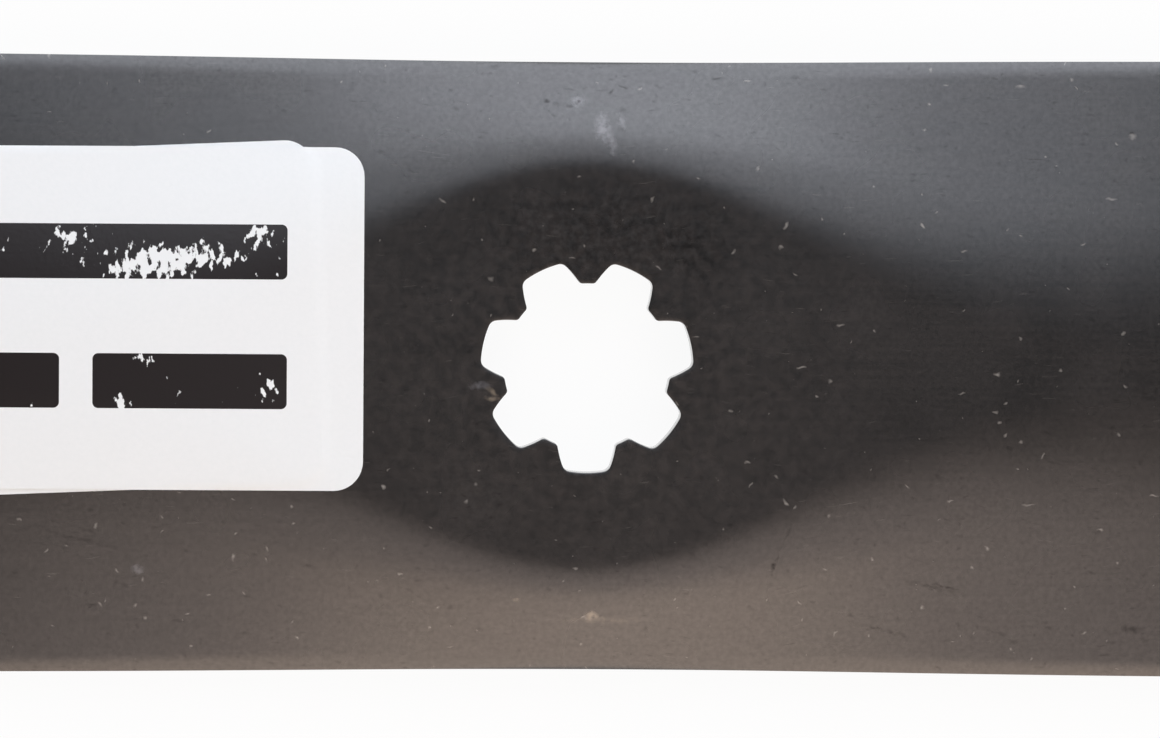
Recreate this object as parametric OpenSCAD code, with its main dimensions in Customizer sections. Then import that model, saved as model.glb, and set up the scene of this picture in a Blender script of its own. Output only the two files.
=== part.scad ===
// Rotary mower blade: one steel bar with a star hole in a pressed-up hub, ground cutting edges
// and turned-up sails, and the two paper labels stuck on top of it. Sizes are in millimetres.
// The origin is on the hole's axis in the plane the bar rests on; +X runs along the bar, +Z is up.

/* [Bar] */
// Length of the blade from tip to tip
blade_length = 533.4; // [500:0.1:700]
// Width of the steel bar before it is pressed
blade_width = 63.5; // [60:0.1:76]
// Thickness of the steel bar
blade_thickness = 5; // [4:0.1:7]
// Width of the rounding along the long rolled edges, seen from above
edge_width = 1.8; // [0.6:0.1:2.5]
// Depth of that rounding from the top, and the same from the underside
edge_drop = 0.6; // [0.3:0.1:1.2]

/* [Hub] */
// Height that the hub is pressed up above the bar
hub_rise = 3.3; // [1:0.1:4.5]
// Length of the flat seat along the bar
seat_length = 45; // [32:0.5:50]
// Width of the flat seat across the hole, between the middles of its two bends
seat_width = 45.5; // [36:0.5:48]
// Width between the bends where the hub runs out into the bar
ridge_width = 16; // [10:0.5:30]
// Distance along the bar in which the seat narrows to the ridge
seat_taper = 32; // [20:0.5:45]
// Length of each bend, measured across the bar, beside the hole
seat_bend = 5.5; // [2:0.5:8]
// Length of each bend where the hub runs out, as far as the ridge has room for it
ridge_bend = 15; // [6:0.5:20]
// Whole length of the pressed hub along the bar
hub_length = 236; // [160:1:240]
// Distance that each long edge is drawn in beside the hole by the pressing
hub_draw = 0.9; // [0:0.1:1.5]
// Distance from the hole at which half of that is left
draw_length = 38; // [20:1:60]

/* [Star hole] */
// Number of points
star_points = 7; // [5:1:8]
// Diameter over the ends of the points
star_outer_d = 21.7; // [20:0.1:24]
// Diameter between the tips of the teeth
star_inner_d = 17; // [16:0.1:18.5]
// Width of a point where its sides would meet the middle of the hole
point_width = 10; // [9:0.1:11]
// Angle of each side of a point to the point's own axis
point_taper = 14; // [8:0.5:18]
// Rounding in the outer corners of a point
point_radius = 0.9; // [0.3:0.1:1.1]
// Rounding of the corners of a tooth
tooth_radius = 0.5; // [0.2:0.1:0.6]

/* [Cutting edges] */
// Length of each ground edge, from the tip inward
cut_length = 135; // [90:1:150]
// Angle of the ground face to the underside
cut_angle = 30; // [22:1:40]
// Height left at the edge, which isn't ground to a point
cut_land = 0.5; // [0.2:0.1:1]
// Radius of the grinding wheel that leaves the rounded end
wheel_radius = 40; // [25:1:60]

/* [Sails] */
// Width of bar that is turned up, measured on the flat bar
sail_width = 30; // [22:0.5:32]
// Length of each sail from the tip to where the bar is flat
sail_length = 117; // [90:1:130]
// Length in which a sail turns up from nothing to its whole angle
sail_run = 58; // [40:1:70]
// Angle of the sail to the bar
sail_angle = 58; // [20:1:70]
// Length of bar that is curved in the bend below the sail
sail_bend = 16; // [10:0.5:18]
// Rounding of the sail's corner at the tip
tip_radius = 11; // [4:0.5:14]

/* [Labels] */
// Length of a label
label_length = 80; // [50:0.5:90]
// Height of a label
label_height = 35; // [25:0.1:38]
// Rounding of a label's corners
label_radius = 2; // [1:0.1:4]
// Thickness of the paper
label_thickness = 0.1; // [0.08:0.01:0.25]
// Room for the glue under a label
label_glue = 0.02; // [0.01:0.01:0.05]
// Distance from the hole's axis to the near end of the upper label
label_end = 22.8; // [22.5:0.1:30]
// Distance from the bar's middle line to the label's own
label_offset = 4.7; // [-6:0.1:6]
// Distance that the lower label lies behind the upper one
under_back = 4.5; // [2:0.1:10]
// Angle at which the lower label was stuck on
under_turn = 2.5; // [-4:0.1:4]
// Distance from the upper label's near end to where the two labels' middle lines cross
under_cross = 23.5; // [10:0.5:40]
// Room that the upper label leaves around the lower one where it comes down to the bar
label_drape = 0.4; // [0.2:0.05:1]

/* [Hidden] */
half_l = blade_length / 2;
half_w = blade_width / 2;
half_t = blade_thickness / 2;
hub_end = hub_length / 2;
sail_start = half_l - sail_length;
sail_full = sail_start + sail_run;
sail_line = half_w - sail_width;
tip_start = half_l - 2 * tip_radius;
cut_width = (blade_thickness - cut_land) / tan(cut_angle);
under_top = label_glue + label_thickness;
bend_steps = 6;
sail_steps = 8;
edge_steps = 3;
run_steps = 12;
tip_steps = 4;
$fn = 96;

// Soft step from 0 at a to 1 at b
function step(a, b, x) = x <= a ? 0 : x >= b ? 1 : (1 - cos(180 * (x - a) / (b - a))) / 2;

// Shape of the pressed hub at x: height of the seat, where its bend begins, how long it is and its turn
function rise(x) = hub_rise * (1 - step(seat_length / 2, hub_end, x));
function narrowed(wide, narrow, x) = narrow + (wide - narrow) * exp(-pow(x / seat_taper, 2));
function hub_half(x) = narrowed(seat_width, ridge_width, x) / 2;
function hub_bend(x) = min(narrowed(seat_bend, ridge_bend, x), 2 * hub_half(x) - 1);
function hub_line(x) = hub_half(x) - hub_bend(x) / 2;
function edge(x) = half_w - hub_draw / (1 + pow(x / draw_length, 2));
function hub_turn(x) = asin(rise(x) / (edge(x) - hub_half(x)));
function sail_turn(x) = sail_angle * step(sail_start, sail_full, x);

// A straight line that bends through a turn over a length and goes straight on: place after s, and slope
function bend_angle(s, length, turn) = turn * min(max(s / length, 0), 1);
function bend_place(s, length, turn) =
  s <= 0 || turn < 0.001 ? [s, 0] :
  let (a = bend_angle(s, length, turn), r = length * 180 / PI / turn, rest = max(s - length, 0))
  [r * sin(a) + rest * cos(turn), r * (1 - cos(a)) + rest * sin(turn)];

// Where a point of the flat bar goes: v across the bar and n up from its middle, at x along the +X half
function middle(x, v) =
  x > sail_start
    ? let (q = bend_place(v - sail_line, sail_bend, sail_turn(x)))
      [sail_line + q[0], q[1], bend_angle(v - sail_line, sail_bend, sail_turn(x))]
    : let (s = abs(v) - hub_line(x), side = v < 0 ? -1 : 1, q = bend_place(s, hub_bend(x), hub_turn(x)))
      [side * (hub_line(x) + q[0]), rise(x) - q[1], -side * bend_angle(s, hub_bend(x), hub_turn(x))];

// The blank's tip is square, with its trailing corner rounded
function reach(v) =
  let (past = max(v - half_w + tip_radius, 0))
  half_l - tip_radius + sqrt(tip_radius * tip_radius - past * past);
function along(x, v) =
  x < tip_start ? x : tip_start + (x - tip_start) * (reach(v) - tip_start) / (half_l - tip_start);
function formed(x, v, n) =
  let (m = middle(x, v)) [along(x, v), m[0] - n * sin(m[2]), half_t + m[1] + n * cos(m[2])];

// Places across the flat bar that carry a section's points: along the hub's two bends, or along the sail
function hub_places(x) = concat(
  [for (k = [bend_steps:-1:0]) -hub_line(x) - hub_bend(x) * k / bend_steps],
  [for (k = [0:bend_steps]) hub_line(x) + hub_bend(x) * k / bend_steps]);
function sail_places() = concat(
  [for (k = [0:sail_steps]) sail_line + sail_bend * k / sail_steps],
  [for (k = [0:4]) half_w - tip_radius + (tip_radius - edge_width) * (sin(18 * k) - 0.05)]);
function places(x) =
  concat([edge_width - edge(x)], x < sail_start ? hub_places(x) : sail_places(), [edge(x) - edge_width]);

// Upper half of the bar's section with its rounded edges, and the rows of points along the bar on either half
function rim(x, a) = [edge(x) - edge_width * (1 - cos(a)), half_t - edge_drop * (1 - sin(a))];
function upper(x) = concat(
  [for (k = [0:edge_steps - 1]) let (p = rim(x, 90 * k / edge_steps)) [-p[0], p[1]]],
  [for (v = places(x)) [v, half_t]],
  [for (k = [edge_steps - 1:-1:0]) rim(x, 90 * k / edge_steps)]);
function about_z(row) = [for (i = [len(row) - 1:-1:0]) [-row[i][0], -row[i][1], row[i][2]]];
function half_row(x, side) = [for (p = upper(x)) formed(x, p[0], side * p[1])];
function row(x, side) = x < 0 ? about_z(half_row(-x, side)) : half_row(x, side);
function skin_row(x, lift) = about_z([for (v = places(-x)) formed(-x, v, half_t + lift)]);
function reversed(list) = [for (i = [len(list) - 1:-1:0]) list[i]];

// Stations along the +X half, close together where the form changes
seat_stations = [for (k = [1:8]) seat_length / 16 * k];
hub_stations = [for (k = [1:18]) seat_length / 2 + (hub_end - seat_length / 2) * k / 18];
run_stations = [for (k = [0:run_steps]) sail_start + 0.01 + sail_run * k / run_steps];
tip_stations = [for (k = [0:tip_steps]) tip_start + (half_l - tip_start) * k / tip_steps];
stations = concat(seat_stations, hub_stations, run_stations, tip_stations);
all_stations = concat([for (x = reversed(stations)) -x], [0], stations);
label_stations = [for (x = all_stations) if (x <= 0 && x > -sail_start) x];

// Solid skinned over rings of points, with the two end rings closed by strips across them
module loft(rings) {
  n = len(rings[0]);
  last = (len(rings) - 1) * n;
  polyhedron([for (ring = rings, p = ring) p], concat(
    [for (j = [0:len(rings) - 2], i = [0:n - 1]) let (a = j * n, k = (i + 1) % n) each
      [[a + i, a + n + k, a + n + i], [a + i, a + k, a + n + k]]],
    [for (i = [0:n / 2 - 2]) each [[i, n - 2 - i, i + 1], [i, n - 1 - i, n - 2 - i]]],
    [for (i = [0:n / 2 - 2]) each
      [[last + i + 1, last + n - 1 - i, last + i], [last + i + 1, last + n - 2 - i, last + n - 1 - i]]]),
    convexity = 8);
}

// Outline of the star, one point after another: tapered sides, an end on the outer circle, round corners
function toward(a) = [cos(a), sin(a)];
function arc(middle, r, from, to, steps) =
  [for (k = [0:steps]) middle + r * toward(from + (to - from) * k / steps)];
function turned(points, a) =
  [for (p = points) [p[0] * cos(a) - p[1] * sin(a), p[0] * sin(a) + p[1] * cos(a)]];

function star_point() =
  let (
    outer = star_outer_d / 2,
    inner = star_inner_d / 2,
    side = point_width / 2 * cos(point_taper),
    end = asin((side - point_radius) / (outer - point_radius)) - point_taper,
    root = asin((side + tooth_radius) / (inner + tooth_radius)) - point_taper,
    half = concat(
      arc([0, 0], outer, end / 3, 2 * end / 3, 1),
      arc((outer - point_radius) * toward(end), point_radius, end, 90 - point_taper, 4),
      arc((inner + tooth_radius) * toward(root), tooth_radius, 270 - point_taper, 180 + root, 3)),
    tooth = 180 / star_points - root,
    tip = arc([0, 0], inner, root + tooth / 2, root + 1.5 * tooth, 1))
  concat([for (p = reversed(half)) [p[0], -p[1]]], half, tip);

module star_hole() {
  translate([0, 0, -blade_thickness]) linear_extrude(hub_rise + 3 * blade_thickness)
    polygon([for (k = [1:star_points]) each turned(star_point(), 90 + 360 / star_points * (k - 0.5))]);
}

// What the grinding wheel takes off one cutting edge, with the round shoulder that the wheel leaves
module ground_off() {
  over = 0.1 * cut_width;
  drop = wheel_radius - cut_width - over;
  run = sqrt(wheel_radius * wheel_radius - drop * drop);
  translate([half_l - cut_length, -half_w, 0]) intersection() {
    translate([0, 0, cut_land]) rotate([cut_angle, 0, 0]) translate([run - wheel_radius, -cut_width, 0])
      cube([cut_length + wheel_radius, 4 * cut_width, 3 * cut_width]);
    linear_extrude(3 * blade_thickness) {
      translate([run, -cut_width]) square([cut_length, 2 * cut_width + over]);
      translate([run, -drop]) circle(wheel_radius);
    }
  }
}

module blade() {
  color([0.13, 0.13, 0.135]) difference() {
    loft([for (x = all_stations) concat(row(x, 1), reversed(row(x, -1)))]);
    star_hole();
    for (end = [0, 180]) rotate(end) ground_off();
  }
}

// Sheet that follows the bar's top beside the hub, between two heights above it
module sheet(low, high) {
  loft([for (x = label_stations) concat(skin_row(x, high), reversed(skin_row(x, low)))]);
}

// Outline of a label whose near end is at x = 0
module label_outline(grow = 0) {
  corner_r = label_radius + grow;
  length = label_length + 2 * grow;
  height = label_height + 2 * grow;
  translate([grow - length, -height / 2]) {
    translate([corner_r, 0]) square([length - 2 * corner_r, height]);
    translate([0, corner_r]) square([length, height - 2 * corner_r]);
    for (x = [corner_r, length - corner_r], y = [corner_r, height - corner_r])
      translate([x, y]) circle(corner_r);
  }
}

module upper_outline() {
  translate([-label_end, label_offset]) label_outline();
}

module under_outline(grow = 0) {
  translate([-label_end - under_cross, label_offset]) rotate(under_turn)
    translate([under_cross - under_back, 0]) label_outline(grow);
}

module upright() {
  linear_extrude(hub_rise + 2 * blade_thickness) children();
}

module under_body(low, high, room) {
  intersection() {
    sheet(low, high);
    upright() under_outline(room);
  }
}

module under_label() {
  color([0.93, 0.93, 0.93]) under_body(label_glue, under_top, 0);
}

// The upper label lies on the bar around the lower one and steps up over it
module label() {
  color([0.96, 0.96, 0.96]) difference() {
    union() {
      intersection() {
        sheet(label_glue, under_top);
        upright() upper_outline();
      }
      intersection() {
        sheet(label_glue, 2 * under_top);
        upright() intersection() {
          upper_outline();
          under_outline(label_drape);
        }
      }
    }
    under_body(-label_thickness, under_top + label_glue, label_glue);
  }
}

blade();
under_label();
label();
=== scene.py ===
import bpy
import numpy as np
from mathutils import Matrix, Vector


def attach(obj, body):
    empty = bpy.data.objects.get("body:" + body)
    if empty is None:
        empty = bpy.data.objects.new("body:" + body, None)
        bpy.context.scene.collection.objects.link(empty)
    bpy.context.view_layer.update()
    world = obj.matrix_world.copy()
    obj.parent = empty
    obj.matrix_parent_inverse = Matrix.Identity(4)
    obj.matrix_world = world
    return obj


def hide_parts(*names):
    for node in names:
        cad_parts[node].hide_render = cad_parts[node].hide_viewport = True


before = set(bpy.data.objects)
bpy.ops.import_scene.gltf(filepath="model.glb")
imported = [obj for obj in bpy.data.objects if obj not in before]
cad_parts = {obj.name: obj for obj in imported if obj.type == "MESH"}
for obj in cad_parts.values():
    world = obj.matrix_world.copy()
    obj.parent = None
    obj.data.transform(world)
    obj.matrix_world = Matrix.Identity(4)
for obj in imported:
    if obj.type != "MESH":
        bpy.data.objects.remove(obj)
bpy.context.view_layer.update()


# Blade: one rolled bar of spring steel. The press lifts a flat seat around the punched star hole, draws the
# long edges in beside it and turns a sail up at each tip; the cutting edges are ground afterwards. Sizes are
# in millimetres and degrees.
blade_length, blade_width, blade_thickness = 533.4, 63.5, 5.0
edge_width, edge_drop, edge_lean = 1.8, 0.6, 24.0
hub_rise, hub_length, hub_draw, draw_length = 3.3, 236.0, 0.9, 38.0
seat_length, seat_width, seat_taper, seat_bend = 45.0, 45.5, 32.0, 5.5
ridge_width, ridge_bend = 16.0, 15.0
star_points, star_outer_d, star_inner_d = 7, 21.7, 17.0
point_width, point_taper, point_radius, tooth_radius = 10.0, 14.0, 0.9, 0.5
rolled_rim, burr_rim = 0.08, 0.1
cut_length, cut_angle, cut_land, wheel_radius, wheel_reach = 135.0, 30.0, 0.5, 40.0, 1.1
sail_width, sail_length, sail_run = 30.0, 117.0, 58.0
sail_angle, sail_bend, tip_radius = 58.0, 16.0, 11.0

half_l, half_w, half_t = blade_length / 2, blade_width / 2, blade_thickness / 2
hub_end, sail_start, sail_line = hub_length / 2, half_l - sail_length, half_w - sail_width
tip_start = half_l - 2 * tip_radius

# Half length of the hub block, points across the bar and along half a long edge's rounding, and the numbers
# of the three finishes in the blade's list of materials.
block_end, across_count, rim_count = 40.0, 83, 8
coat_finish, bevel_finish, wall_finish = 0, 1, 2


def soft_step(a, b, x):
    """0 up to a, 1 from b on, and half a cosine wave between."""
    return (1 - np.cos(np.pi * np.clip((x - a) / (b - a), 0, 1))) / 2


def edge(x):
    """Half the bar's width at x, drawn in beside the hub."""
    return half_w - hub_draw / (1 + (x / draw_length) ** 2)


def bent(s, length, turn):
    """A line that turns through an angle over a length and then goes straight on: its place along, its
    height and its slope after the distance s."""
    least_turn = 1e-5
    turn = np.maximum(turn, least_turn)
    slope, radius, rest = turn * np.clip(s / length, 0, 1), length / turn, np.maximum(s - length, 0)
    along = np.minimum(s, 0) + radius * np.sin(slope) + rest * np.cos(turn)
    return along, radius * (1 - np.cos(slope)) + rest * np.sin(turn), slope


def pressed(x, v, n):
    """Where the press puts a point of the flat bar: x along it, v across it and n above its middle plane.

    The section is a flat seat with a bend and a straight flank down to each edge, or from the sail's start on
    a flat with one bend up. The sail's corner is rounded by drawing the tip back along a circle. Both halves
    of the blade are the same, half a turn apart."""
    side = np.where(x < 0, -1.0, 1.0)
    x, v, n = np.broadcast_arrays(x * side, v * side, n)
    narrow = np.exp(-(x / seat_taper) ** 2)
    half = (ridge_width + (seat_width - ridge_width) * narrow) / 2
    bend = np.minimum(ridge_bend + (seat_bend - ridge_bend) * narrow, 2 * half - 1)
    rise = hub_rise * (1 - soft_step(seat_length / 2, hub_end, x))
    along, down, slope = bent(np.abs(v) - half + bend / 2, bend, np.arcsin(rise / (edge(x) - half)))
    turn = np.radians(sail_angle) * soft_step(sail_start, sail_start + sail_run, x)
    out, up, lean = bent(v - sail_line, sail_bend, turn)
    hub = x <= sail_start
    way = np.where(v < 0, -1.0, 1.0)
    y = np.where(hub, way * (half - bend / 2 + along), sail_line + out)
    z = np.where(hub, rise - down, up)
    tilt = np.where(hub, -way * slope, lean)
    past = np.maximum(v - half_w + tip_radius, 0)
    reach = half_l - tip_radius + np.sqrt(tip_radius ** 2 - past ** 2)
    tip = tip_start + (x - tip_start) * (reach - tip_start) / (half_l - tip_start)
    x = np.where(x < tip_start, x, tip)
    return np.stack([side * x, side * (y - n * np.sin(tilt)), half_t + z + n * np.cos(tilt)], axis=-1)


def star_radius(theta):
    """Radius of the hole at each angle. Half a point of the star, worked out as complex numbers from its axis
    on, is the outer circle, a round corner, the straight tapered side, the tooth's round corner and the
    tooth's tip."""
    arc_count = 60
    outer, inner = star_outer_d / 2, star_inner_d / 2
    taper, step = np.radians(point_taper), np.pi / star_points
    side = point_width / 2 * np.cos(taper)
    end = np.arcsin((side - point_radius) / (outer - point_radius)) - taper
    root = np.arcsin((side + tooth_radius) / (inner + tooth_radius)) - taper
    arcs = [(0, 0, outer, 0, end),
            (outer - point_radius, end, point_radius, end, np.pi / 2 - taper),
            (inner + tooth_radius, root, tooth_radius, 1.5 * np.pi - taper, np.pi + root),
            (0, 0, inner, root, step)]
    half = np.concatenate([far * np.exp(1j * at) + radius * np.exp(1j * np.linspace(a, b, arc_count))
                           for far, at, radius, a, b in arcs])
    off = np.abs((theta - np.pi / 2) % (2 * step) - step)
    return np.interp(off, np.angle(half), np.abs(half))


def quads(rows, cols, wrap=False):
    """Corner numbers of the cells of a grid of points; with wrap the last column meets the first."""
    i, j = np.meshgrid(np.arange(rows - 1), np.arange(cols if wrap else cols - 1), indexing="ij")
    k = (j + 1) % cols
    corners = [i * cols + j, (i + 1) * cols + j, (i + 1) * cols + k, i * cols + k]
    return np.stack(corners, axis=-1).reshape(-1, 4)


def sewn(name, grids):
    """One object from grids of points in millimetres, each with its faces and their finish numbers: points
    that round to the same small step become one, faces that shrink to a line go, and steep folds are
    sharp."""
    steps_per_mm, sharp_fold = 5000, 32.0
    points = np.concatenate([p.reshape(-1, 3) for p, f, m in grids])
    starts = np.cumsum([0] + [p.size // 3 for p, f, m in grids[:-1]])
    faces = np.concatenate([f + s for (p, f, m), s in zip(grids, starts)])
    finish = np.concatenate([np.broadcast_to(m, len(f)) for p, f, m in grids])
    rounded = np.round(points * steps_per_mm).astype(np.int64)
    _, first, same = np.unique(rounded, axis=0, return_index=True, return_inverse=True)
    loops = [list(dict.fromkeys(f)) for f in same.reshape(-1)[faces].tolist()]
    keep = [i for i, f in enumerate(loops) if len(f) > 2]
    mesh = bpy.data.meshes.new(name)
    mesh.from_pydata(points[first] * 0.001, [], [loops[i] for i in keep])
    mesh.polygons.foreach_set("material_index", finish[keep].astype(np.int32))
    mesh.polygons.foreach_set("use_smooth", np.ones(len(keep), dtype=bool))
    mesh.set_sharp_from_angle(angle=np.radians(sharp_fold))
    piece = bpy.data.objects.new(name, mesh)
    bpy.context.collection.objects.link(piece)
    return piece


def hub_block(lengthwise):
    """The middle of the bar around the hole: straight lines run from the star's outline to a rectangle that
    reaches the long edges, over the top, down the hole's wall with its rolled rim, and back under the bar."""
    lip_count, over_count, under_count, small_turn = 6, 44, 26, 1e-4
    width = (edge(block_end) - edge_width) * np.linspace(-1, 1, across_count)[:-1]
    back, forth = lengthwise[:0:-1], lengthwise[:-1]
    outline = np.concatenate([block_end + 1j * width, back + 1j * (edge(back) - edge_width),
                              -block_end - 1j * width, forth - 1j * (edge(forth) - edge_width)])
    theta = np.angle(outline)
    star = star_radius(theta) * np.exp(1j * theta)
    slope = (star_radius(theta + small_turn) - star_radius(theta - small_turn)) / (2 * small_turn)
    into = np.exp(1j * theta) * (np.abs(star) - 1j * slope)
    into /= np.abs(into)
    rows = []
    for sign, rim, count in ((1, rolled_rim, over_count), (-1, burr_rim, under_count)):
        round_in = np.linspace(0, np.pi / 2, lip_count)[:, None]
        lip = star + into * rim * (1 - np.sin(round_in))
        sheet = lip[:1] + np.linspace(0, 1, count)[1:, None] * (outline - lip[:1])
        height = np.concatenate([np.full(count - 1, half_t), half_t - rim * (1 - np.cos(round_in[:, 0]))])
        half = np.concatenate([sheet[::-1], lip])
        rows.append((half[::sign], sign * height[::sign]))
    place = np.concatenate([rows[0][0], rows[1][0]])
    height = np.concatenate([rows[0][1], rows[1][1]])
    grid = pressed(place.real, place.imag, height[:, None])
    cells = quads(*grid.shape[:2], True)
    wall = cells[:, 0] // grid.shape[1] == len(rows[0][1]) - 1
    return grid, cells[:, ::-1], np.where(wall, wall_finish, coat_finish)


def edge_round(x):
    """Places across and up for the rounded half of a long edge at x, from its outer corner to its top: the
    part of an ellipse that leans no more than the corner, with points where its slope has turned by equal
    steps."""
    lean = np.radians(np.linspace(edge_lean, 0, rim_count, endpoint=False))
    long, short = edge_width * np.sin(lean), edge_drop * np.cos(lean)
    size = np.hypot(long, short)
    return ((edge(x) - edge_width)[:, None] + edge_width * long / size * size[0] / long[0],
            half_t - edge_drop + edge_drop * short / size)


def edge_strip(lengthwise, sign):
    """One rounded long edge of the hub block, carried along the bar from its top to its underside."""
    v_round, n_round = edge_round(lengthwise)
    flat = (edge(lengthwise) - edge_width)[:, None]
    v = np.concatenate([flat, v_round[:, ::-1], v_round, flat], axis=1)
    n = np.concatenate([[half_t], n_round[::-1], -n_round, [-half_t]])
    strip = pressed(lengthwise[:, None], sign * v[:, ::sign], n[::sign])
    return strip, quads(*strip.shape[:2]), coat_finish


def bar_ring(x, top, cut):
    """Ring of points around the bar's section at each x, from the places across its top. Where the bar is
    ground, what stands above the ground plane comes down to it; cut counts the places from the leading edge
    that the wheel meets."""
    v_round, n_round = edge_round(x)
    v = np.concatenate([-v_round, top, v_round[:, ::-1]], axis=1)
    n = np.concatenate([n_round, np.full(top.shape[1], half_t), n_round[::-1]])
    ground = cut_land - half_t + (v + half_w) * np.tan(np.radians(cut_angle))
    met = (np.arange(v.shape[1]) < cut + rim_count) & (cut > 0)
    upper, lower = (np.where(met, np.minimum(level, ground), level) for level in (n, -n))
    return pressed(x[:, None], np.concatenate([v, v[:, ::-1]], axis=1),
                   np.concatenate([upper, lower[:, ::-1]], axis=1))


def stations(stops, counts):
    """Places along the bar from stop to stop: evenly spaced in each stretch, with a count for each."""
    spans = [np.linspace(a, b, count) for a, b, count in zip(stops, stops[1:], counts)]
    return np.concatenate([spans[0]] + [span[1:] for span in spans[1:]])


def bar_end():
    """The +X end of the bar from the hub block to the tip: an unground stretch, a ground one whose bevel ends
    inboard in the round shoulder that the grinding wheel leaves, and the flat cap of the tip."""
    bevel_count, face_count = 8, 76
    bevel = (blade_thickness - cut_land) / np.tan(np.radians(cut_angle))
    drop = wheel_radius - wheel_reach * bevel
    centre = half_l - cut_length + np.sqrt(wheel_radius ** 2 - drop ** 2)
    meets = centre - np.sqrt(wheel_radius ** 2 - (drop + edge_width) ** 2)
    x = stations([block_end, hub_end, meets], [40, 4])
    plain = bar_ring(x, (edge(x) - edge_width)[:, None] * np.linspace(-1, 1, across_count), 0)
    x = stations([meets, sail_start, sail_start + sail_run, tip_start, half_l], [14, 40, 5, 12])
    shoulder = np.sqrt(np.maximum(wheel_radius ** 2 - np.maximum(centre - x, 0) ** 2, 0)) - drop
    shoulder = np.minimum(shoulder, bevel)[:, None] - half_w
    flat = (edge(x) - edge_width)[:, None]
    inner, outer = np.linspace(0, 1, bevel_count), np.linspace(0, 1, face_count)
    top = np.concatenate([-flat + (shoulder + flat) * inner, shoulder + (flat - shoulder) * outer], axis=1)
    ground = bar_ring(x, top, bevel_count)
    ring = ground.shape[1]
    cells = quads(len(x), ring, True)
    finish = np.where(cells[:, 0] % ring < rim_count + bevel_count, bevel_finish, coat_finish)
    k = np.arange(ring // 2 - 1)
    cap = (len(x) - 1) * ring + np.stack([k, ring - 1 - k, ring - 2 - k, k + 1], axis=-1)
    return [(plain, quads(len(plain), plain.shape[1], True), coat_finish), (ground, cells, finish),
            (ground, cap, coat_finish)]


lengthwise = stations([-block_end, block_end], [121])
grids = [hub_block(lengthwise), edge_strip(lengthwise, 1), edge_strip(lengthwise, -1)]
for turn in (1, -1):
    grids += [(p * [turn, turn, 1], f, m) for p, f, m in bar_end()]
blade = sewn("blade_steel", grids)


def linear(code):
    """Linear colour from an sRGB hex code."""
    c = np.array([int(code[i:i + 2], 16) for i in (0, 2, 4)]) / 255
    return (*np.where(c <= 0.04045, c / 12.92, ((c + 0.055) / 1.055) ** 2.4), 1.0)


def add(tree, kind, inputs, **settings):
    """Adds one shader node, sets its settings, and links or sets its inputs."""
    node = tree.nodes.new("ShaderNode" + kind)
    for key, value in settings.items():
        setattr(node, key, value)
    for key, value in inputs.items():
        if isinstance(value, bpy.types.NodeSocket):
            tree.links.new(value, node.inputs[key])
        else:
            node.inputs[key].default_value = value
    return node.outputs


def new_material(name):
    """An empty material, its tree of nodes, and the object's place in millimetres."""
    material = bpy.data.materials.new(name)
    material.use_nodes = True
    tree = material.node_tree
    tree.nodes.clear()
    place = add(tree, "TexCoord", {})["Object"]
    return material, tree, add(tree, "VectorMath", {0: place, "Scale": 1000.0}, operation="SCALE")[0]


def wavered(tree, place, size, reach):
    """The place shifted along and across by a cloudy waver of a size and a whole reach in millimetres."""
    cloud = add(tree, "TexNoise", {"Vector": place, "Scale": 1 / size, "Detail": 0.0})["Color"]
    centred = add(tree, "VectorMath", {0: cloud, 1: (0.5, 0.5, 0.5)}, operation="SUBTRACT")[0]
    return add(tree, "VectorMath", {0: centred, 1: (*reach, 0.0), 2: place}, operation="MULTIPLY_ADD")[0]


def marks(tree, place, turns):
    """Mask of oval marks, listed under the angle that they are turned by, each with its centre, half length,
    half width and strength: full in the middle and nothing from the outline on. Lengths in millimetres."""
    total = 0.0
    for turn, ovals in turns.items():
        turned = add(tree, "Mapping", {"Vector": place, "Rotation": (0, 0, -np.radians(turn))})[0]
        for x, y, length, width, strength in ovals:
            centre = complex(x, y) * np.exp(-1j * np.radians(turn))
            off = add(tree, "VectorMath", {0: turned, 1: (1 / length, 1 / width, 0),
                                           2: (-centre.real / length, -centre.imag / width, 0)},
                      operation="MULTIPLY_ADD")[0]
            off = add(tree, "VectorMath", {0: off}, operation="LENGTH")["Value"]
            mark = add(tree, "MapRange", {"Value": off, "From Min": 1.0, "From Max": 0.2,
                                          "To Max": strength})[0]
            total = add(tree, "Math", {0: mark, 1: total}, operation="MAXIMUM")[0]
    return total


def strewn(tree, place, total, sets):
    """The mask joined by sets of specks, each set given by the size of the cells that hold one speck each,
    the largest radius, the cells' turn and the strength: a speck fades from its seed to its own random part
    of the radius."""
    for cell, radius, turn, strength in sets:
        turned = add(tree, "Mapping", {"Vector": place, "Rotation": (0, 0, np.radians(turn)),
                                       "Scale": (*cell, 1)}, vector_type="TEXTURE")[0]
        seed = add(tree, "TexVoronoi", {"Vector": turned, "Scale": 1.0}, voronoi_dimensions="2D")
        chance = add(tree, "SeparateColor", {0: seed["Color"]})[0]
        chance = add(tree, "Math", {0: chance, 1: 3.0}, operation="POWER")[0]
        size = add(tree, "Math", {0: chance, 1: radius / cell[1]}, operation="MULTIPLY")[0]
        speck = add(tree, "MapRange", {"Value": seed["Distance"], "From Min": size, "From Max": 0.0,
                                       "To Max": strength})[0]
        total = add(tree, "Math", {0: speck, 1: total}, operation="MAXIMUM")[0]
    return total


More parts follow.
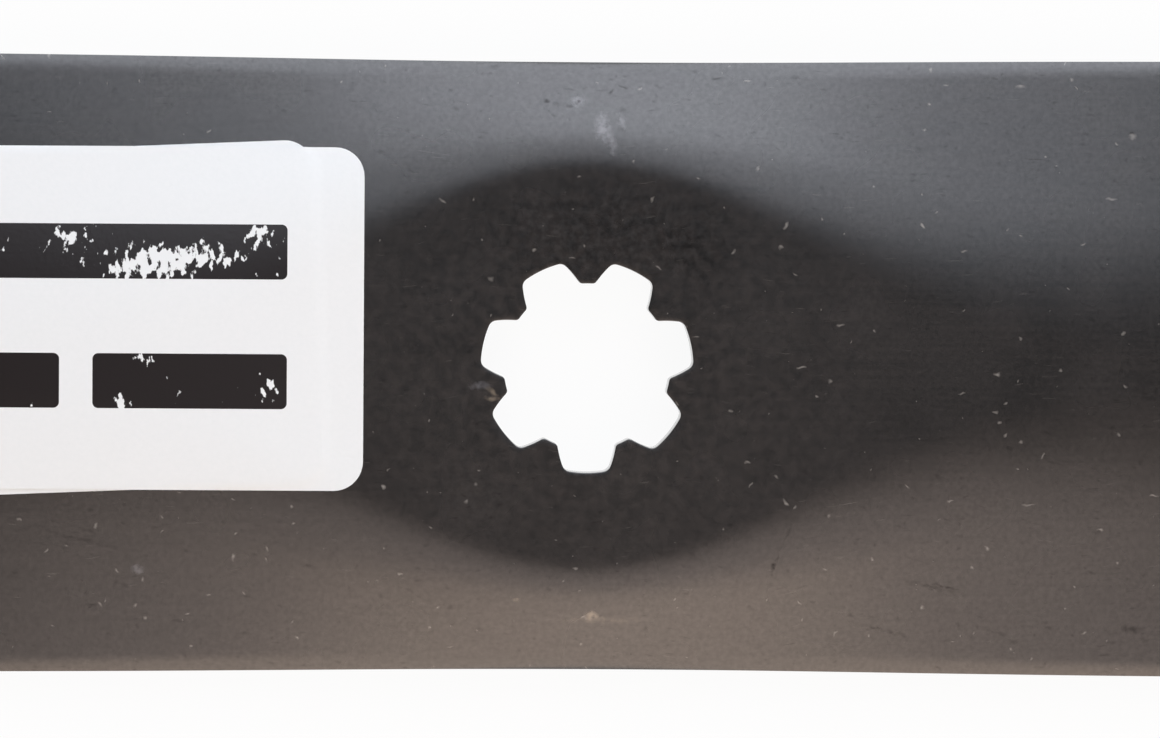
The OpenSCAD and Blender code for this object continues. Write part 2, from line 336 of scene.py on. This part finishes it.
# Satin black stoving enamel over rolled steel: a fine grain with faint rolling lines and dust nibs in the
# film, one pale spot painted as the highlight in a small dent, blotches around the hub, rubs, scuffs and a
# chipped tooth from handling, and dark pits, scores and creases. Sizes are in millimetres; the grain is drawn
# about twice as coarse as it is, so that it shows.
grain_size, cloud_size, blotch_size, chip_size, mark_waver = 0.45, 8.3, 1.2, 0.7, 0.6
line_size, stroke_size, stroke_waver = (16.7, 0.33, 5.0), (2.5, 0.22, 5.0), 16.7
enamel, tree, mm = new_material("satin_black_enamel")
grain = add(tree, "TexNoise", {"Vector": mm, "Scale": 1 / grain_size, "Detail": 2.0})["Fac"]
cloud = add(tree, "TexNoise", {"Vector": mm, "Scale": 1 / cloud_size, "Detail": 1.0})["Fac"]
lines = add(tree, "Mapping", {"Vector": mm, "Scale": line_size}, vector_type="TEXTURE")[0]
lines = add(tree, "TexNoise", {"Vector": lines, "Scale": 1.0, "Detail": 1.0})["Fac"]
uneven = add(tree, "Math", {0: grain, 1: lines}, operation="ADD")[0]
uneven = add(tree, "Math", {0: uneven, 1: cloud}, operation="ADD")[0]
uneven = add(tree, "MapRange", {"Value": uneven, "From Min": 1.1, "From Max": 1.9})[0]
tone = add(tree, "MixRGB", {"Fac": uneven, "Color1": linear("090909"), "Color2": linear("1E1B1A")})[0]
blotch = add(tree, "TexNoise", {"Vector": mm, "Scale": 1 / blotch_size, "Detail": 3.0})["Fac"]
blotch = add(tree, "MapRange", {"Value": blotch, "From Min": 0.36, "From Max": 0.66})[0]
blotch = add(tree, "MixRGB", {"Fac": blotch, "Color1": linear("050505"), "Color2": linear("292523")})[0]
around = marks(tree, mm, {0: [(0, 0, 36.0, 30.0, 0.85)]})
tone = add(tree, "MixRGB", {"Fac": around, "Color1": tone, "Color2": blotch})[0]

swayed = add(tree, "Mapping", {"Vector": wavered(tree, mm, stroke_waver, (0.0, 6.0)), "Scale": stroke_size},
             vector_type="TEXTURE")[0]
strokes = add(tree, "TexNoise", {"Vector": swayed, "Scale": 1.0, "Detail": 3.0})["Fac"]
rubs = add(tree, "MapRange", {"Value": strokes, "From Min": 0.68, "From Max": 0.82, "To Max": 0.2})[0]
scores = add(tree, "MapRange", {"Value": strokes, "From Min": 0.32, "From Max": 0.2, "To Max": 0.45})[0]

ragged = wavered(tree, mm, mark_waver, (0.5, 0.5))
# The pale oval at (55.9, 23.9) is a painted highlight in a small dent, next to the crease oval at (55.9,
# 24.2) that dims the shine there; the other pale ovals and specks are dust nibs.
nibs_and_dent_highlight = marks(tree, ragged, {
    0: [(55.9, 23.9, 0.6, 0.4, 0.6), (44.4, 28.9, 0.7, 0.2, 0.6), (53.7, 17.5, 0.6, 0.14, 0.7),
        (16.3, 29.4, 0.45, 0.15, 0.9), (42.0, -0.6, 0.45, 0.28, 0.9), (42.8, -3.5, 0.25, 0.22, 0.7),
        (41.7, -4.4, 0.35, 0.22, 0.6), (42.2, -5.5, 0.25, 0.22, 0.7), (21.9, 0.1, 0.6, 0.18, 0.8),
        (23.5, -2.9, 0.25, 0.22, 0.8), (16.4, -9.7, 0.35, 0.2, 0.7), (45.3, -13.9, 0.7, 0.18, 0.5),
        (52.8, -16.4, 0.5, 0.15, 0.8), (58.3, -12.9, 0.6, 0.15, 0.8), (-20.7, -12.3, 0.25, 0.25, 1.0),
        (-29.5, -28.0, 0.3, 0.25, 0.8), (-35.9, -19.6, 0.16, 0.5, 0.8), (-9.9, 8.9, 0.4, 0.28, 0.45),
        (-5.5, 11.8, 0.24, 0.2, 0.8), (-1.0, 19.4, 0.25, 0.2, 0.6), (-11.3, -12.1, 0.3, 0.3, 0.5)],
    60: [(20.2, 14.5, 0.5, 0.22, 0.8)],
    -55: [(34.2, 14.6, 0.5, 0.2, 1.0), (20.4, -13.8, 0.5, 0.18, 0.9), (-32.6, -18.8, 0.45, 0.16, 0.7)]})
nibs_and_dent_highlight = strewn(tree, ragged, nibs_and_dent_highlight, [((5.0, 5.0), 0.28, 0, 0.75), ((13.0, 4.5), 0.17, 2, 0.75),
                                   ((9.0, 4.5), 0.2, 58, 0.75), ((11.0, 5.0), 0.18, -40, 0.75)])
nibs_and_dent_highlight = add(tree, "Math", {0: nibs_and_dent_highlight, 1: rubs}, operation="MAXIMUM")[0]
tone = add(tree, "MixRGB", {"Fac": nibs_and_dent_highlight, "Color1": tone, "Color2": linear("7F7C77")})[0]

broken = add(tree, "TexNoise", {"Vector": mm, "Scale": 1 / chip_size, "Detail": 2.0})["Fac"]
broken = add(tree, "MapRange", {"Value": broken, "From Min": 0.3, "From Max": 0.62})[0]
pale = marks(tree, ragged, {
    0: [(1.5, 25.6, 0.7, 0.5, 0.55), (-1.1, 27.1, 1.0, 0.8, 0.5), (-10.9, -2.0, 1.4, 0.5, 0.35),
        (-45.9, -21.0, 0.85, 0.65, 0.4)],
    102: [(1.5, 24.2, 2.0, 1.1, 0.6), (2.4, 22.7, 1.5, 0.6, 0.45), (3.3, 25.1, 1.5, 0.6, 0.3)]})
pale = add(tree, "Math", {0: pale, 1: broken}, operation="MULTIPLY")[0]
tone = add(tree, "MixRGB", {"Fac": pale, "Color1": tone, "Color2": linear("85858A")})[0]
warm = marks(tree, ragged, {
    0: [(0.7, -25.5, 0.9, 0.6, 1.0), (1.5, -25.9, 5.0, 0.5, 0.25), (-9.8, -3.3, 0.9, 0.4, 0.9),
        (-7.0, -23.9, 0.5, 0.4, 0.6)],
    -35: [(-9.7, -2.6, 1.0, 0.3, 0.6)]})
warm = add(tree, "Math", {0: warm, 1: broken}, operation="MULTIPLY")[0]
tone = add(tree, "MixRGB", {"Fac": warm, "Color1": tone, "Color2": linear("857A6A")})[0]

creases = marks(tree, ragged, {
    0: [(1.0, 13.5, 18.0, 9.5, 0.45), (56.2, -26.7, 1.6, 0.5, 0.5), (-1.0, 27.1, 0.3, 0.3, 0.9),
        (-1.9, 26.6, 0.4, 0.35, 0.6), (-4.3, 27.1, 0.45, 0.35, 0.6), (55.9, 24.2, 0.5, 0.28, 0.9),
        (13.2, 29.6, 1.2, 0.2, 0.4), (-50.8, -24.8, 1.2, 0.28, 0.45)],
    -14: [(9.0, 12.5, 8.0, 5.0, 0.5), (35.8, -22.5, 4.2, 0.3, 0.35), (36.9, -22.4, 1.7, 0.22, 0.65),
          (31.0, -27.0, 2.7, 0.3, 0.35), (30.0, -26.7, 1.1, 0.22, 0.6), (42.5, -27.2, 1.3, 0.2, 0.45),
          (3.7, 28.6, 1.1, 0.18, 0.45), (-2.0, 28.4, 0.9, 0.18, 0.5), (-51.0, -18.1, 4.7, 0.25, 0.35),
          (-47.5, -22.7, 0.9, 0.3, 0.45), (-28.2, -20.6, 1.3, 0.22, 0.45)],
    66: [(20.3, -17.6, 2.3, 0.18, 0.3), (19.3, -20.1, 1.2, 0.22, 0.65), (2.3, 28.0, 0.7, 0.22, 0.45)]})
creases = add(tree, "Math", {0: creases, 1: broken}, operation="MULTIPLY")[0]
pits = strewn(tree, ragged, scores, [((3.4, 1.5), 0.27, -8, 0.26), ((1.8, 1.8), 0.25, 20, 0.24)])
creases = add(tree, "Math", {0: creases, 1: pits}, operation="MAXIMUM")[0]
tone = add(tree, "MixRGB", {"Fac": pits, "Color1": tone, "Color2": linear("040404")})[0]
shine = add(tree, "MapRange", {"Value": grain, "From Min": 0.25, "From Max": 0.75,
                               "To Min": 0.45, "To Max": 0.55})[0]
bright = add(tree, "Math", {0: 1.0, 1: creases}, operation="SUBTRACT")[0]
shine = add(tree, "Math", {0: shine, 1: bright}, operation="MULTIPLY")[0]
gloss = add(tree, "MapRange", {"Value": cloud, "To Min": 0.25, "To Max": 0.29})[0]
skin = add(tree, "BsdfPrincipled", {"Base Color": tone, "Roughness": gloss, "IOR": 1.65,
                                    "Specular IOR Level": shine})[0]
add(tree, "OutputMaterial", {"Surface": skin})
blade.data.materials.append(enamel)

# Bare steel of the two bevels, bright from the grinding wheel, with its scratches running across the edge;
# they are drawn a few times wider than real ones, so that they show.
scratch_size = (0.17, 3.3, 3.3)
bevel_steel, tree, mm = new_material("ground_bevel_steel")
scratch = add(tree, "Mapping", {"Vector": mm, "Scale": scratch_size}, vector_type="TEXTURE")[0]
scratch = add(tree, "TexNoise", {"Vector": scratch, "Scale": 1.0})["Fac"]
gloss = add(tree, "MapRange", {"Value": scratch, "To Min": 0.25, "To Max": 0.45})[0]
tone = add(tree, "MixRGB", {"Fac": scratch, "Color1": linear("8F8F8D"), "Color2": linear("B9B9B6")})[0]
skin = add(tree, "BsdfPrincipled", {"Base Color": tone, "Metallic": 1.0, "Roughness": gloss})[0]
add(tree, "OutputMaterial", {"Surface": skin})
blade.data.materials.append(bevel_steel)

# Glossy enamel that has run together on the punched wall of the hole and mirrors the table at a low angle.
run_size, ripple_size = 1.7, 2.5
wall_enamel, tree, mm = new_material("glossy_black_enamel")
run = add(tree, "TexNoise", {"Vector": mm, "Scale": 1 / run_size, "Detail": 3.0})["Fac"]
tone = add(tree, "MixRGB", {"Fac": run, "Color1": linear("0B0B0B"), "Color2": linear("1C1A19")})[0]
ripple = add(tree, "TexNoise", {"Vector": mm, "Scale": 1 / ripple_size, "Detail": 3.0})["Fac"]
gloss = add(tree, "MapRange", {"Value": ripple, "To Min": 0.04, "To Max": 0.12})[0]
skin = add(tree, "BsdfPrincipled", {"Base Color": tone, "Roughness": gloss, "IOR": 1.65})[0]
add(tree, "OutputMaterial", {"Surface": skin})
blade.data.materials.append(wall_enamel)
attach(blade, "root")
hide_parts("blade")


# Labels: two printed paper stickers of one size. The first one went on a little turned and the second was
# stuck over it, so only slips of the first one show and its edge stands out through the second.
label_length, label_height, label_radius, paper, glue = 80.0, 35.0, 3.0, 0.1, 0.02
label_end, label_offset, label_drape = 22.8, 4.7, (-0.5, 0.1)
under_back, under_turn, under_cross = 4.5, 2.5, 23.5

# Where the middle lines of the two labels cross, and the middle of the first one's near end, as places in
# plan written as complex numbers.
cross = -label_end - under_cross + 1j * label_offset
under_near = cross + np.exp(1j * np.radians(under_turn)) * (under_cross - under_back)


def label_sheet(name, near_end, turn, lift):
    """A rounded rectangle of paper laid on the pressed bar. Its columns follow the length and shorten at the
    round corners; each point is found on the bar's top by stepping across the bar until its place in plan is
    right."""
    corner_count, length_count, height_count, step_count = 10, 141, 71, 12
    paper_finish = 0
    nick = label_radius * (1 - np.cos(np.linspace(0, np.pi / 2, corner_count)))
    straight = np.linspace(-1, 1, length_count) * (label_length / 2 - label_radius)
    u = np.unique(np.concatenate([nick - label_length / 2, straight, label_length / 2 - nick]))
    inset = np.maximum(np.abs(u) - label_length / 2 + label_radius, 0)
    tall = label_height / 2 - label_radius + np.sqrt(np.maximum(label_radius ** 2 - inset ** 2, 0))
    w = np.linspace(-1, 1, height_count) * tall[:, None]
    plan = near_end + np.exp(1j * np.radians(turn)) * (u[:, None] - label_length / 2 + 1j * w)
    x, y = plan.real, plan.imag
    v = y.copy()
    for _ in range(step_count):
        v += y - pressed(x, v, half_t)[..., 1]
    height = lift(x, y)
    top, base = pressed(x, v, half_t + height), pressed(x, v, half_t + height - paper)
    cells = quads(*top.shape[:2])
    rows, cols = top.shape[:2]
    loop = np.concatenate([np.arange(cols), np.arange(1, rows) * cols + cols - 1,
                           (rows - 1) * cols + np.arange(cols - 2, -1, -1),
                           np.arange(rows - 2, 0, -1) * cols])
    rim = np.stack([top.reshape(-1, 3)[loop], base.reshape(-1, 3)[loop]])
    rim_cells = quads(2, len(loop), True)[:, ::-1]
    return sewn(name, [(top, cells, paper_finish), (base, cells[:, ::-1], paper_finish),
                       (rim, rim_cells, paper_finish)])


def under_inside(x, y):
    """How far a place in plan lies inside the first label's outline, in millimetres, negative outside."""
    away = (x + 1j * y - under_near) * np.exp(-1j * np.radians(under_turn))
    dx = np.abs(away.real + label_length / 2) - label_length / 2 + label_radius
    dy = np.abs(away.imag) - label_height / 2 + label_radius
    return label_radius - np.hypot(np.maximum(dx, 0), np.maximum(dy, 0)) - np.minimum(np.maximum(dx, dy), 0)


def under_lift(x, y):
    """Height of the first label's face above the bar."""
    return np.full(x.shape, glue + paper)


def upper_lift(x, y):
    """Height of the second label's face above the bar: it climbs over the first one's edge."""
    return (glue + paper) * (1 + soft_step(*label_drape, under_inside(x, y)))


under = label_sheet("under_label_paper", under_near, under_turn, under_lift)
upper = label_sheet("label_paper", -label_end + 1j * label_offset, 0.0, upper_lift)

# Coated white label paper, a little blue, printed with bold bars in satin black ink. The upper bar's ink is
# rubbed through in white flecks along its lower half and the lower bars have a few small chips. The paper's
# fibre is drawn many times coarser than it is, so that it shows.
fibre_size, flake_size, flake_turn, bar_radius = 0.5, (0.64, 1.19, 0.83), 0.3, 0.6
bars = [(-96.0, -30.6, 8.7, 14.3), (-96.0, -53.8, -4.5, 1.1), (-50.4, -30.6, -4.5, 1.1)]
paper_stock, tree, mm = new_material("white_label_paper")
fibre = add(tree, "TexNoise", {"Vector": mm, "Scale": 1 / fibre_size, "Detail": 2.0})["Fac"]
tone = add(tree, "MixRGB", {"Fac": fibre, "Color1": linear("E7EDEE"), "Color2": linear("ECF1F2")})[0]
ink = 0.0
for left, right, low, high in bars:
    middle = ((left + right) / 2, (low + high) / 2, 0)
    core = ((right - left) / 2 - bar_radius, (high - low) / 2 - bar_radius, 1000)
    off = add(tree, "VectorMath", {0: mm, 1: middle}, operation="SUBTRACT")[0]
    off = add(tree, "VectorMath", {0: off}, operation="ABSOLUTE")[0]
    off = add(tree, "VectorMath", {0: off, 1: core}, operation="SUBTRACT")[0]
    off = add(tree, "VectorMath", {0: off, 1: (0, 0, 0)}, operation="MAXIMUM")[0]
    off = add(tree, "VectorMath", {0: off}, operation="LENGTH")["Value"]
    inside = add(tree, "Math", {0: off, 1: bar_radius}, operation="LESS_THAN")[0]
    ink = add(tree, "Math", {0: inside, 1: ink}, operation="MAXIMUM")[0]
rubbed = marks(tree, mm, {
    0: [(-33.5, 13.0, 3.0, 1.8, 0.26), (-47.6, -4.2, 0.9, 1.8, 0.3), (-32.6, -2.6, 1.8, 2.2, 0.2),
        (-45.0, 0.8, 2.4, 1.2, 0.2)],
    5: [(-43.0, 10.6, 11.0, 2.6, 0.30), (-53.0, 12.6, 3.8, 2.4, 0.2)]})
flake = add(tree, "Mapping", {"Vector": mm, "Scale": [1 / size for size in flake_size],
                              "Rotation": (0, 0, flake_turn)})[0]
flake = add(tree, "TexNoise", {"Vector": flake, "Scale": 1.0, "Detail": 4.0})["Fac"]
bare = add(tree, "Math", {0: flake, 1: rubbed}, operation="ADD")[0]
bare = add(tree, "MapRange", {"Value": bare, "From Min": 0.74, "From Max": 0.70})[0]
ink = add(tree, "Math", {0: ink, 1: bare}, operation="MULTIPLY")[0]
tone = add(tree, "MixRGB", {"Fac": ink, "Color1": tone, "Color2": linear("181314")})[0]
gloss = add(tree, "MapRange", {"Value": ink, "To Min": 0.55, "To Max": 0.3})[0]
folds = marks(tree, mm, {3: [(-28.8, 2.9, 1.6, 0.16, 1.0), (-27.2, -8.1, 0.14, 1.8, 0.8)],
                         -8: [(-24.2, -9.4, 0.9, 0.14, 0.8), (-27.9, 6.0, 0.12, 0.8, 0.6)]})
relief = add(tree, "Math", {0: fibre, 1: folds}, operation="SUBTRACT")[0]
bump = add(tree, "Bump", {"Height": relief, "Strength": 0.1, "Distance": 0.0001})[0]
skin = add(tree, "BsdfPrincipled", {"Base Color": tone, "Roughness": gloss, "Normal": bump})[0]
add(tree, "OutputMaterial", {"Surface": skin})
for piece, node, slot in ((under, "under_label", "under_paper"), (upper, "label", "label_paper")):
    piece.data.materials.append(paper_stock)
    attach(piece, "root")
    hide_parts(node)


# Stage: a white table, two soft boxes on each long side of the blade and a dim room, seen from almost
# straight above. Sizes are in metres; the table shows white to the camera and in mirrors, and keeps a trace
# of the blade's shadow.
table_half, table_level, glow_share = 3.0, -0.0002, 0.94
corners = [(x * table_half, y * table_half, table_level) for x, y in ((-1, -1), (1, -1), (1, 1), (-1, 1))]
floor_mesh = bpy.data.meshes.new("floor")
floor_mesh.from_pydata(corners, [], [(0, 1, 2, 3)])
floor = bpy.data.objects.new("floor", floor_mesh)
bpy.context.collection.objects.link(floor)
table, tree, _ = new_material("white_table")
path = add(tree, "LightPath", {})
seen = add(tree, "Math", {0: path["Is Camera Ray"], 1: path["Is Glossy Ray"]}, operation="MAXIMUM")[0]
seen = add(tree, "Math", {0: seen, 1: path["Is Transmission Ray"]}, operation="MAXIMUM")[0]
share = add(tree, "Math", {0: seen, 1: glow_share}, operation="MULTIPLY")[0]
white = add(tree, "BsdfDiffuse", {"Color": linear("F4F4F4")})[0]
glow = add(tree, "Emission", {"Color": linear("FFFFFF"), "Strength": 1.0})[0]
add(tree, "OutputMaterial", {"Surface": add(tree, "MixShader", {0: share, 1: white, 2: glow})[0]})
floor.data.materials.append(table)


def soft_box(name, along, angle, size, power, colour):
    """A rectangular lamp one metre away on the +Y or -Y side, tilted from straight overhead by an angle and
    set a little along the bar towards its bare end."""
    lamp = bpy.data.lights.new(name, "AREA")
    lamp.shape, lamp.energy, lamp.color = "RECTANGLE", power, linear(colour)[:3]
    lamp.size, lamp.size_y = size
    box = bpy.data.objects.new(name, lamp)
    a = np.radians(angle)
    box.location = (along, np.sin(a), np.cos(a))
    box.rotation_euler = (-a, 0, 0)
    bpy.context.collection.objects.link(box)


soft_box("soft_box_far", along=0.12, angle=53.3, size=(0.70, 1.004), power=9.75, colour="F1F5FF")
soft_box("soft_box_far_top", along=0.12, angle=18.2, size=(0.70, 0.301), power=1.55, colour="F1F5FF")
soft_box("soft_box_near", along=0.10, angle=-53.3, size=(0.70, 1.004), power=7.4, colour="FFE8D8")
soft_box("soft_box_near_top", along=0.10, angle=-18.2, size=(0.70, 0.301), power=1.27, colour="FFECE3")

# The room is bright only near the horizon, where steep faces mirror it.
room = bpy.data.worlds.new("dim_room")
bpy.context.scene.world = room
room.use_nodes = True
tree = room.node_tree
up = add(tree, "SeparateXYZ", {0: add(tree, "TexCoord", {})["Generated"]})["Z"]
level = add(tree, "MapRange", {"Value": up, "From Min": 0.0, "From Max": 0.3,
                               "To Min": 1.5, "To Max": 0.03})[0]
tree.links.new(level, tree.nodes["Background"].inputs["Strength"])
tree.nodes["Background"].inputs["Color"].default_value = linear("FFFFFF")

# The camera looks at the hub's top, where one pixel of the photo's width is 0.102 mm; its lean and roll are
# the photo's. The sensor is in millimetres.
photo_width, photo_pixel, sensor = 1160, 0.000102, 36.0
target, distance = Vector((-0.00073, -0.00023, 0.0083)), 0.62
lean_x, lean_y, roll = np.radians(-1.5), np.radians(1.2), np.radians(0.33)
camera_data = bpy.data.cameras.new("camera")
camera = bpy.data.objects.new("camera", camera_data)
bpy.context.collection.objects.link(camera)
bpy.context.scene.camera = camera
away = Vector((np.tan(lean_x), np.tan(lean_y), 1.0)).normalized()
level_right = Vector((np.cos(roll), np.sin(roll), 0))
right = (level_right - level_right.dot(away) * away).normalized()
turned = Matrix((right, away.cross(right), away)).transposed().to_4x4()
camera.matrix_world = Matrix.Translation(target + distance * away) @ turned
camera_data.sensor_width = sensor
camera_data.lens = sensor * distance / (photo_width * photo_pixel)
camera_data.clip_start, camera_data.clip_end = 0.01, 20.0

bpy.context.scene.view_settings.view_transform = "Standard"
